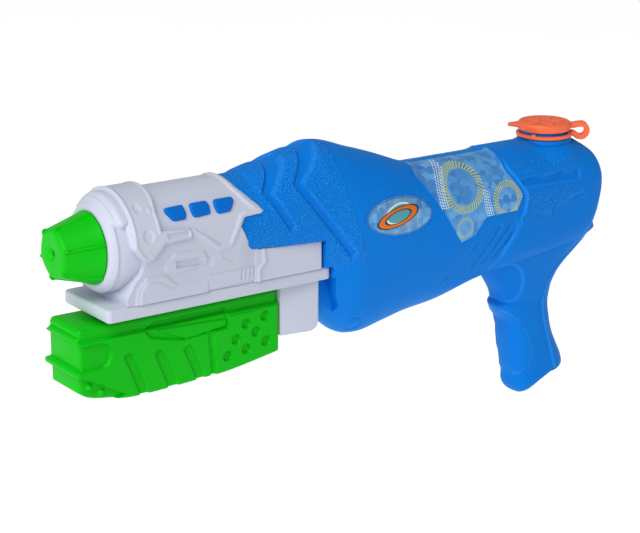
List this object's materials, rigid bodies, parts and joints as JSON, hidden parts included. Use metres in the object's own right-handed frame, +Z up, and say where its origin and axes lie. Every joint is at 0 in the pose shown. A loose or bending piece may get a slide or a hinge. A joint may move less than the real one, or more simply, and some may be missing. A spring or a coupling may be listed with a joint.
{
  "type": "water squirter",
  "caption": "Pump-action water squirter: hollow tank with pistol grip, split pump housing, sliding fore-grip, ribbed nozzle and strapped filler cap",
  "frame": {"origin": "in the palm of the pistol grip, on the middle plane", "axes": "+Z up, -X towards the muzzle along the barrel, +Y to the right of the barrel seen from above with the muzzle at -X"},
  "size_m": [0.4135, 0.0674, 0.2002],
  "materials": {
    "blue_plastic": "moulded blue plastic, grained on the front and rear",
    "white_plastic": "moulded white plastic with a soft sheen",
    "green_plastic": "moulded bright green plastic",
    "orange_plastic": "soft moulded orange plastic",
    "window_blue": "blue plastic insert",
    "foil_film": "printed pale blue foil film",
    "clear_plastic": "milky plastic tube",
    "grey_plastic": "grey moulded plastic",
    "black_rubber": "black rubber",
    "steel": "plated steel"
  },
  "bodies": {
    "body": {"tank": "blue_plastic", "wrap_label_left": "foil_film", "wrap_label_right": "foil_film", "oval_label_left": "foil_film", "oval_label_right": "foil_film", "housing_left": "white_plastic", "housing_right": "white_plastic", "window_insert_left": "window_blue", "window_insert_right": "window_blue", "housing_screw_1": "steel", "housing_screw_2": "steel", "housing_screw_3": "steel", "housing_screw_4": "steel", "housing_screw_5": "steel", "housing_screw_6": "steel", "nozzle": "green_plastic", "nozzle_seal": "black_rubber", "outlet_hose": "clear_plastic", "pump_cylinder": "clear_plastic", "cylinder_gland": "white_plastic", "valve_chest": "white_plastic", "inlet_seat": "grey_plastic", "outlet_union": "grey_plastic", "tank_grommet": "black_rubber", "inlet_spring": "steel", "outlet_spring": "steel"},
    "pump": {"fore_grip_left": "green_plastic", "fore_grip_right": "green_plastic", "pump_rod": "white_plastic", "piston": "grey_plastic", "piston_seal": "black_rubber", "rod_pin": "steel", "fore_grip_screw_1": "steel", "fore_grip_screw_2": "steel", "fore_grip_screw_3": "steel"},
    "strap_ring": {"cap_ring": "orange_plastic", "cap_strap": "orange_plastic"},
    "cap": {"filler_cap": "orange_plastic", "cap_seal": "black_rubber"},
    "inlet_valve": {"inlet_ball": "steel"},
    "outlet_valve": {"outlet_ball": "steel"}
  },
  "joints": [
    {"name": "pump_slide", "type": "slide", "parent": "body", "child": "pump", "axis": [-1, 0, 0], "range_m": [0, 0.075]},
    {"name": "ring_swivel", "type": "hinge", "parent": "body", "child": "strap_ring", "pos_m": [0.0142, 0, 0.127], "axis": [0, 0, 1], "continuous": true},
    {"name": "cap_flip", "type": "hinge", "parent": "strap_ring", "child": "cap", "pos_m": [0.03411, -0.01394, 0.1294], "axis": [0.5736, 0.8192, 0], "range_deg": [0, 150], "deforming": ["cap_strap"]},
    {"name": "inlet_lift", "type": "slide", "parent": "body", "child": "inlet_valve", "axis": [-1, 0, 0], "range_m": [0, 0.002], "stiffness_N_per_m": 20, "springref_m": -0.001, "deforming": ["inlet_spring"]},
    {"name": "outlet_lift", "type": "slide", "parent": "body", "child": "outlet_valve", "axis": [0, 0, 1], "range_m": [0, 0.002], "stiffness_N_per_m": 20, "springref_m": -0.001, "deforming": ["outlet_spring"]}
  ]
}
